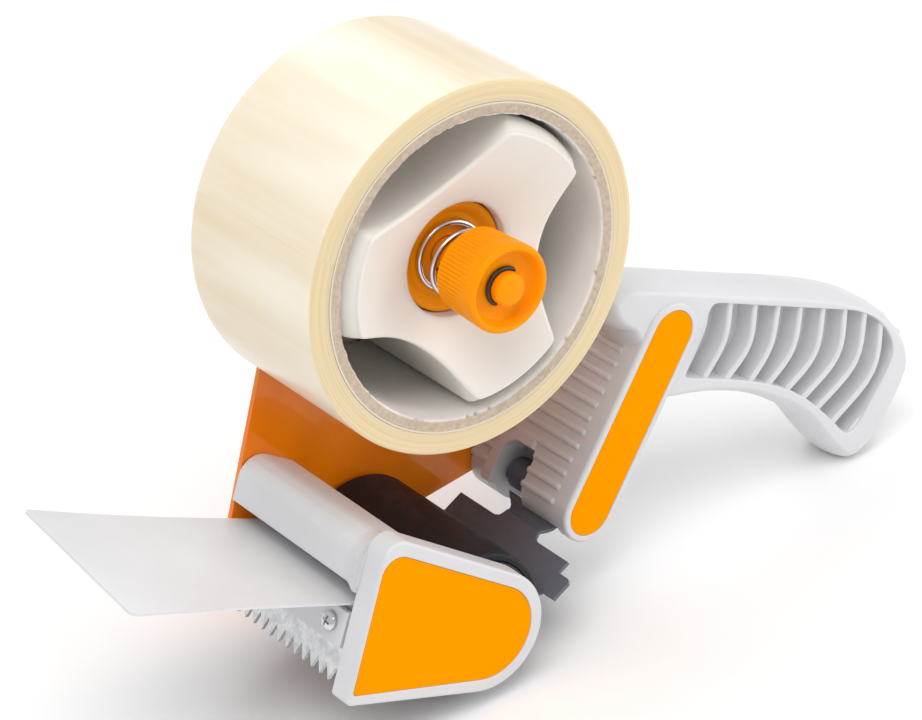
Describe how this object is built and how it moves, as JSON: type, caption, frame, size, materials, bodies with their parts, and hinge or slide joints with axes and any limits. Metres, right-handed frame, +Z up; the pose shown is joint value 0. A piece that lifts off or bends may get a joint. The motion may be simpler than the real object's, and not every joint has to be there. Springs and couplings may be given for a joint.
{
  "type": "packing tape dispenser",
  "caption": "Hand-held packing tape gun with a pistol grip, hub and tension knob, rubber roller, sprung retainer flap, toothed blade and a fitted roll of tape.",
  "frame": {"origin": "on the ground under the middle of the bounding box, with the tool standing on its roller and on the butt of its grip", "axes": "+X from the blade to the butt of the grip, +Y from the open side, where the roll goes on, to the side plate, +Z up"},
  "size_m": [0.253, 0.0722, 0.1619],
  "materials": {
    "orange_lacquer": "gloss",
    "warm_white_plastic": "satin",
    "light_grey_plastic": "satin gloss",
    "orange_plastic": "satin",
    "orange_label": "printed film",
    "black_rubber": "matt",
    "black_plastic": "matt",
    "zinc_plated_steel": "zinc plated",
    "dark_grey_steel": "dark satin",
    "cardboard": "raw paperboard",
    "tape_film": "clear film, wound",
    "wiper_plastic": "satin"
  },
  "bodies": {
    "frame_body": {"side_plate": "orange_lacquer", "spindle": "orange_plastic", "spindle_screw": "zinc_plated_steel", "spindle_clip": "zinc_plated_steel", "friction_washer": "black_plastic", "pressure_washer": "orange_plastic", "tension_spring": "zinc_plated_steel", "handle": "light_grey_plastic", "handle_label": "orange_label", "handle_screw_1": "zinc_plated_steel", "handle_screw_2": "zinc_plated_steel", "handle_screw_3": "zinc_plated_steel", "flap_pin": "dark_grey_steel", "torsion_spring": "dark_grey_steel", "guard": "light_grey_plastic", "cheek_label": "orange_label", "guard_screw_1": "zinc_plated_steel", "guard_screw_2": "zinc_plated_steel", "roller_axle": "zinc_plated_steel", "roller_axle_nut": "zinc_plated_steel", "blade": "zinc_plated_steel", "blade_clamp": "light_grey_plastic", "blade_screw_near": "zinc_plated_steel", "blade_screw_far": "zinc_plated_steel"},
    "hub": {"hub": "warm_white_plastic"},
    "roll": {"tape_core": "cardboard", "tape_roll": "tape_film"},
    "knob_seat": {"spring_seat": "zinc_plated_steel"},
    "knob": {"knob": "orange_plastic"},
    "roller": {"roller_core": "black_plastic", "roller_sleeve": "black_rubber"},
    "flap": {"retainer_flap": "dark_grey_steel"},
    "wiper": {"wiper": "wiper_plastic"}
  },
  "joints": [
    {"name": "hub_spin", "type": "hinge", "parent": "frame_body", "child": "hub", "pos_m": [-0.02365, 0.0035, 0.11491], "axis": [0, 1, 0], "continuous": true},
    {"name": "roll_slide", "type": "slide", "parent": "hub", "child": "roll", "axis": [0, -1, 0], "range_m": [0, 0.08]},
    {"name": "knob_travel", "type": "slide", "parent": "frame_body", "child": "knob_seat", "axis": [0, 1, 0], "range_m": [0, 0.003], "deforming": ["tension_spring"]},
    {"name": "knob_turn", "type": "hinge", "parent": "knob_seat", "child": "knob", "pos_m": [-0.02365, 0.0035, 0.11491], "axis": [0, 1, 0], "range_deg": [0, 700]},
    {"name": "roller_spin", "type": "hinge", "parent": "frame_body", "child": "roller", "pos_m": [-0.03243, 0.0035, 0.0187], "axis": [0, 1, 0], "continuous": true},
    {"name": "flap_hinge", "type": "hinge", "parent": "frame_body", "child": "flap", "pos_m": [0.01209, 0.0035, 0.02509], "axis": [0, -1, 0], "range_deg": [0, 20], "stiffness_Nm_per_rad": 0.02, "springref_deg": -34.38},
    {"name": "wiper_flex", "type": "hinge", "parent": "frame_body", "child": "wiper", "pos_m": [-0.05739, 0.0035, 0.03667], "axis": [0, 1, 0], "range_deg": [-8, 8], "stiffness_Nm_per_rad": 0.25, "springref_deg": 0.29}
  ],
  "couplings": [
    {"joint": "knob_travel", "follows": "knob_turn", "m_per_rad": 0.00023873}
  ]
}
